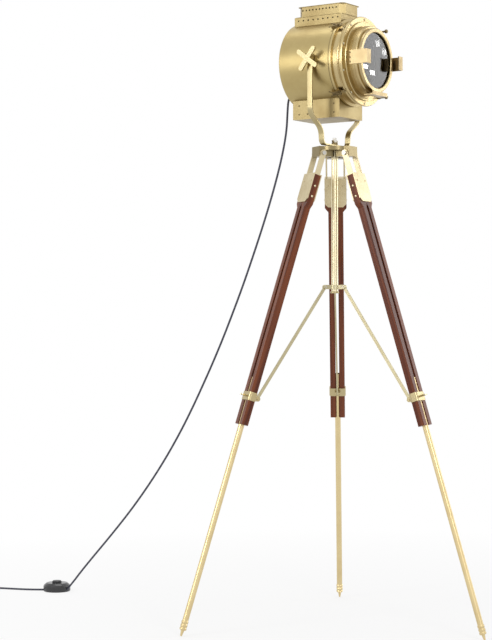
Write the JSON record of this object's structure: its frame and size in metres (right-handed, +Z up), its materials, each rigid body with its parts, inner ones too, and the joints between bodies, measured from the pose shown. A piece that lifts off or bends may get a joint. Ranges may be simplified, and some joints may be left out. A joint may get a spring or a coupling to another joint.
{
  "type": "tripod spotlight floor lamp",
  "caption": "Floor lamp with a drum spotlight in a tilting yoke on a folding wooden tripod with extending rods and a sliding spreader.",
  "frame": {"origin": "on the floor, under the middle of the lamp's bounding box without the cord", "axes": "+Z up, -Y the way the lens faces, +X to the right seen from the front"},
  "size_m": [0.7556, 1.6906, 1.594],
  "materials": {
    "brass": "brushed antique brass",
    "pale_brass": "worn pale brass",
    "wood": "red-brown varnish",
    "lens_glass": "clear",
    "bulb_glass": "clear",
    "reflector": "polished",
    "ceramic": "glazed",
    "cord_black": "matt",
    "black_plastic": "semi-gloss",
    "washer": "matt",
    "steel": "satin"
  },
  "bodies": {
    "tripod_head": {"head_plate": "brass", "centre_tube": "brass", "tube_end_cap": "brass", "leg_pivot_bolts": "steel", "pan_stud": "steel", "pan_washer": "washer"},
    "leg_front": {"leg_front_slat_a": "wood", "leg_front_slat_b": "wood", "leg_front_bracket": "brass", "leg_front_collar": "brass"},
    "rod_front": {"rod_front": "brass"},
    "thumb_screw_front": {"thumb_screw_front": "pale_brass"},
    "stay_front": {"stay_front": "pale_brass"},
    "leg_right": {"leg_right_slat_a": "wood", "leg_right_slat_b": "wood", "leg_right_bracket": "brass", "leg_right_collar": "brass"},
    "rod_right": {"rod_right": "brass"},
    "thumb_screw_right": {"thumb_screw_right": "pale_brass"},
    "stay_right": {"stay_right": "pale_brass"},
    "leg_left": {"leg_left_slat_a": "wood", "leg_left_slat_b": "wood", "leg_left_bracket": "brass", "leg_left_collar": "brass"},
    "rod_left": {"rod_left": "brass"},
    "thumb_screw_left": {"thumb_screw_left": "pale_brass"},
    "stay_left": {"stay_left": "pale_brass"},
    "spider": {"spider": "pale_brass", "spider_pins": "steel"},
    "yoke": {"yoke": "brass", "cord_hanging": "cord_black", "cord_floor": "cord_black", "cord_coil": "cord_black", "plug": "black_plastic", "foot_switch": "black_plastic"},
    "pan_wing_nut": {"pan_wing_nut": "pale_brass"},
    "head": {"bulb": "bulb_glass", "casing_latches": "brass", "cord_gland": "cord_black", "cord_lead": "cord_black", "drum_shell": "brass", "frame_clip_left": "brass", "frame_clip_right": "brass", "frame_ledge": "brass", "front_casing": "brass", "lamp_holder": "ceramic", "lens_bezel": "brass", "lens_glass": "lens_glass", "lower_box": "brass", "rear_cover": "brass", "reflector": "reflector", "tilt_bosses": "brass", "tilt_pivot_bolt": "steel", "vent_lower": "brass", "vent_upper": "brass"},
    "tilt_knob": {"tilt_knob": "brass"},
    "casing_screw_upper": {"casing_screw_upper": "pale_brass"},
    "casing_screw_lower": {"casing_screw_lower": "pale_brass"},
    "switch_button": {"switch_button": "black_plastic"}
  },
  "joints": [
    {"name": "leg_front_fold", "type": "hinge", "parent": "tripod_head", "child": "leg_front", "pos_m": [0, 0.06295, 1.212], "axis": [1, 0, 0], "range_deg": [0, 16]},
    {"name": "leg_right_fold", "type": "hinge", "parent": "tripod_head", "child": "leg_right", "pos_m": [0.03897, 0.13045, 1.212], "axis": [-0.5, 0.866, 0], "range_deg": [0, 16]},
    {"name": "leg_left_fold", "type": "hinge", "parent": "tripod_head", "child": "leg_left", "pos_m": [-0.03897, 0.13045, 1.212], "axis": [-0.5, -0.866, 0], "range_deg": [0, 16]},
    {"name": "spider_slide", "type": "slide", "parent": "tripod_head", "child": "spider", "axis": [0, 0, 1], "range_m": [0, 0.0353]},
    {"name": "stay_front_swing", "type": "hinge", "parent": "spider", "child": "stay_front", "pos_m": [0, 0.07995, 0.869], "axis": [1, 0, 0], "range_deg": [0, 32.01]},
    {"name": "rod_front_slide", "type": "slide", "parent": "leg_front", "child": "rod_front", "axis": [0, 0.304, 0.9527], "range_m": [0, 0.43]},
    {"name": "thumb_screw_front_turn", "type": "hinge", "parent": "leg_front", "child": "thumb_screw_front", "pos_m": [0, -0.13528, 0.59086], "axis": [0, -0.9527, 0.304], "range_deg": [0, 180]},
    {"name": "stay_right_swing", "type": "hinge", "parent": "spider", "child": "stay_right", "pos_m": [0.02425, 0.12195, 0.869], "axis": [-0.5, 0.866, 0], "range_deg": [0, 32.01]},
    {"name": "rod_right_slide", "type": "slide", "parent": "leg_right", "child": "rod_right", "axis": [-0.2633, -0.152, 0.9527], "range_m": [0, 0.43]},
    {"name": "thumb_screw_right_turn", "type": "hinge", "parent": "leg_right", "child": "thumb_screw_right", "pos_m": [0.21064, 0.22956, 0.59086], "axis": [0.825, 0.4763, 0.304], "range_deg": [0, 180]},
    {"name": "stay_left_swing", "type": "hinge", "parent": "spider", "child": "stay_left", "pos_m": [-0.02425, 0.12195, 0.869], "axis": [-0.5, -0.866, 0], "range_deg": [0, 32.01]},
    {"name": "rod_left_slide", "type": "slide", "parent": "leg_left", "child": "rod_left", "axis": [0.2633, -0.152, 0.9527], "range_m": [0, 0.43]},
    {"name": "thumb_screw_left_turn", "type": "hinge", "parent": "leg_left", "child": "thumb_screw_left", "pos_m": [-0.21064, 0.22956, 0.59086], "axis": [-0.825, 0.4763, 0.304], "range_deg": [0, 180]},
    {"name": "yoke_pan", "type": "hinge", "parent": "tripod_head", "child": "yoke", "pos_m": [0, 0.10795, 1.232], "axis": [0, 0, 1], "range_deg": [-170, 170]},
    {"name": "pan_wing_nut_turn", "type": "hinge", "parent": "tripod_head", "child": "pan_wing_nut", "pos_m": [0, 0.10795, 1.24], "axis": [0, 0, 1], "range_deg": [0, 180]},
    {"name": "head_tilt", "type": "hinge", "parent": "yoke", "child": "head", "pos_m": [0, 0.10795, 1.444], "axis": [1, 0, 0], "range_deg": [-60, 45]},
    {"name": "tilt_knob_turn", "type": "hinge", "parent": "head", "child": "tilt_knob", "pos_m": [-0.12, 0.10795, 1.444], "axis": [-1, 0, 0], "range_deg": [0, 180]},
    {"name": "casing_screw_upper_turn", "type": "hinge", "parent": "head", "child": "casing_screw_upper", "pos_m": [0.07122, 0.01795, 1.52888], "axis": [0, -1, 0], "range_deg": [0, 180]},
    {"name": "casing_screw_lower_turn", "type": "hinge", "parent": "head", "child": "casing_screw_lower", "pos_m": [0.07122, 0.01795, 1.35912], "axis": [0, -1, 0], "range_deg": [0, 180]},
    {"name": "switch_press", "type": "slide", "parent": "yoke", "child": "switch_button", "axis": [0, 0, -1], "range_m": [0, 0.004], "stiffness_N_per_m": 500}
  ],
  "couplings": [
    {"joint": "leg_right_fold", "follows": "leg_front_fold", "ratio": 1},
    {"joint": "leg_left_fold", "follows": "leg_front_fold", "ratio": 1},
    {"joint": "spider_slide", "follows": "leg_front_fold", "m_per_rad": 0.12571},
    {"joint": "stay_front_swing", "follows": "leg_front_fold", "ratio": 1.9944},
    {"joint": "stay_right_swing", "follows": "leg_front_fold", "ratio": 1.9944},
    {"joint": "stay_left_swing", "follows": "leg_front_fold", "ratio": 1.9944}
  ]
}
